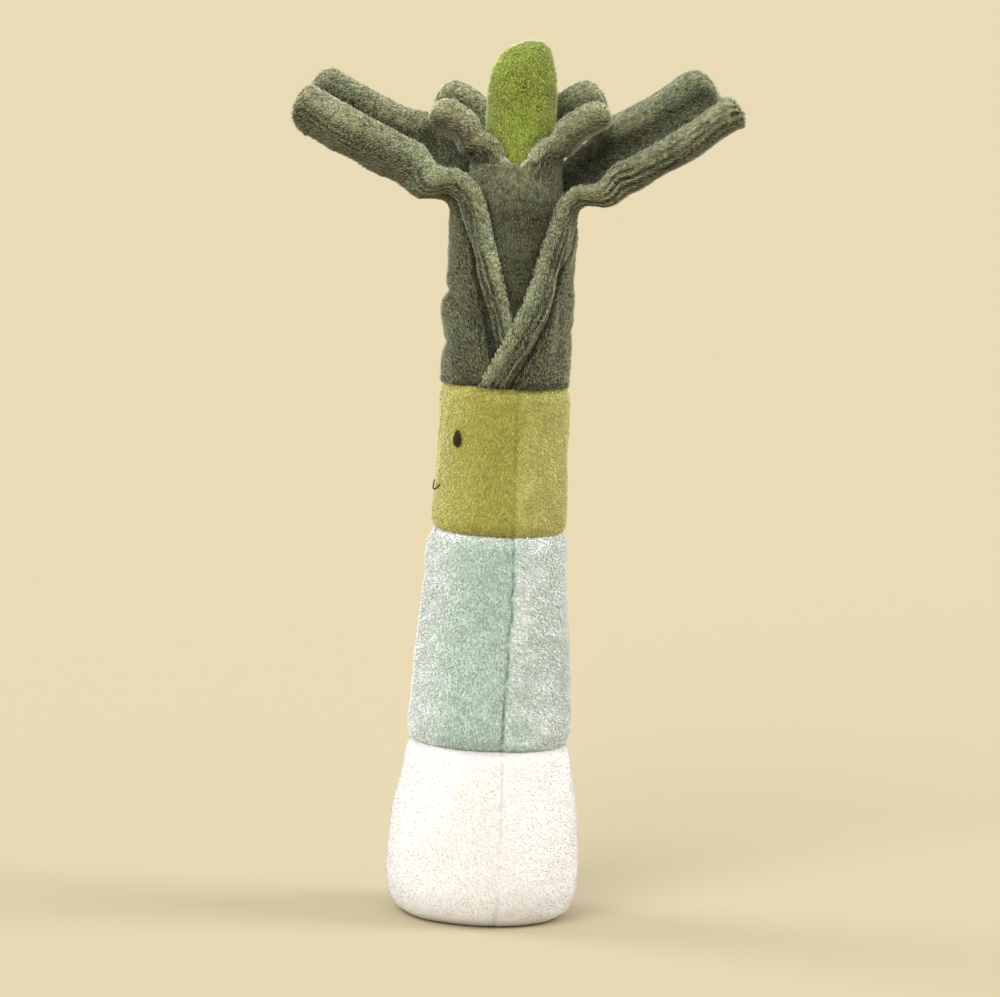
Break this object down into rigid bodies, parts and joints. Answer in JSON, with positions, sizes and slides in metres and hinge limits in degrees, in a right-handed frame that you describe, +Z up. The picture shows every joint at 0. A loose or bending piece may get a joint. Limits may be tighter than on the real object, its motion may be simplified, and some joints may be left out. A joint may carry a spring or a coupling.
{
  "type": "stuffed leek soft toy",
  "caption": "Upright stuffed plush leek with a white bulb, pale and olive bands with a small face, dark folded leaves and a bright green shoot.",
  "frame": {"origin": "middle of the flat base panel's underside", "axes": "+Z up from the base to the shoot, the two large leaves spread along X, and -Y is the side that the picture is taken from"},
  "size_m": [0.1566, 0.0692, 0.31],
  "materials": {
    "dark_plush": "short soft pile, grey-green, paler at the rims",
    "white_plush": "short soft pile, warm white",
    "aqua_plush": "short soft pile, pale grey-aqua",
    "olive_plush": "short soft pile, yellow-olive",
    "bright_plush": "short soft pile, bright leaf green",
    "lining_cloth": "plain woven lining, matt",
    "fibre_fill": "loose white fibre fill",
    "embroidery_thread": "satin-stitched dark brown thread"
  },
  "bodies": {
    "root": {"outer_leaf_left": "dark_plush", "outer_leaf_right": "dark_plush", "inner_leaf_left": "dark_plush", "inner_leaf_right": "dark_plush", "leaf_stem": "dark_plush", "bulb": "white_plush", "base_panel": "white_plush", "pellet_bag": "lining_cloth", "stuffing": "fibre_fill", "lower_band": "aqua_plush", "upper_band": "olive_plush", "shoot": "bright_plush", "eye_left": "embroidery_thread", "eye_right": "embroidery_thread", "smile": "embroidery_thread"}
  },
  "joints": []
}
